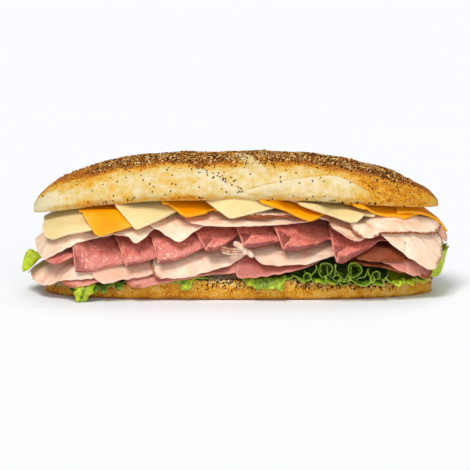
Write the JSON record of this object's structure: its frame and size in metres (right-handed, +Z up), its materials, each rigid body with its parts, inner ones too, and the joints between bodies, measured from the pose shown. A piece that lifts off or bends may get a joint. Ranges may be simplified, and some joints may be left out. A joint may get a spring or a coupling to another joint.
{
  "type": "submarine sandwich",
  "caption": "Long seeded roll in two halves, filled with overlapping slices of cheese, turkey, salami and ham on frilly lettuce that drape past both sides.",
  "frame": {"origin": "middle of the flat underside of the lower half of the roll, at the level it rests on", "axes": "+Z up; +X along the roll to the right as seen from the front; -Y towards the front"},
  "size_m": [0.3155, 0.0996, 0.1036],
  "materials": {
    "crust": "baked bread crust, matt, with poppy and sesame seeds",
    "cheddar": "sliced orange cheese, satin",
    "white_cheese": "sliced pale cheese, satin",
    "turkey": "sliced roast turkey, moist satin, browned at its rim",
    "salami": "sliced salami with pale flecks, moist satin",
    "ham": "sliced ham, moist satin",
    "lettuce": "green leaf lettuce, waxy"
  },
  "bodies": {
    "root": {"cheddar_1": "cheddar", "cheddar_2": "cheddar", "cheddar_3": "cheddar", "cheddar_4": "cheddar", "cheddar_5": "cheddar", "ham_1": "ham", "ham_2": "ham", "ham_3": "ham", "ham_4": "ham", "ham_5": "ham", "lettuce_1": "lettuce", "lettuce_2": "lettuce", "lettuce_3": "lettuce", "lettuce_4": "lettuce", "lettuce_5": "lettuce", "lettuce_6": "lettuce", "roll_base": "crust", "roll_top": "crust", "salami_1": "salami", "salami_2": "salami", "salami_3": "salami", "salami_4": "salami", "salami_5": "salami", "salami_6": "salami", "salami_7": "salami", "salami_8": "salami", "turkey_lower_1": "turkey", "turkey_lower_2": "turkey", "turkey_lower_3": "turkey", "turkey_lower_4": "turkey", "turkey_lower_5": "turkey", "turkey_upper_1": "turkey", "turkey_upper_2": "turkey", "turkey_upper_3": "turkey", "turkey_upper_4": "turkey", "turkey_upper_5": "turkey", "turkey_upper_6": "turkey", "turkey_upper_7": "turkey", "turkey_upper_8": "turkey", "turkey_upper_9": "turkey", "white_cheese_1": "white_cheese", "white_cheese_2": "white_cheese", "white_cheese_3": "white_cheese", "white_cheese_4": "white_cheese"}
  },
  "joints": []
}
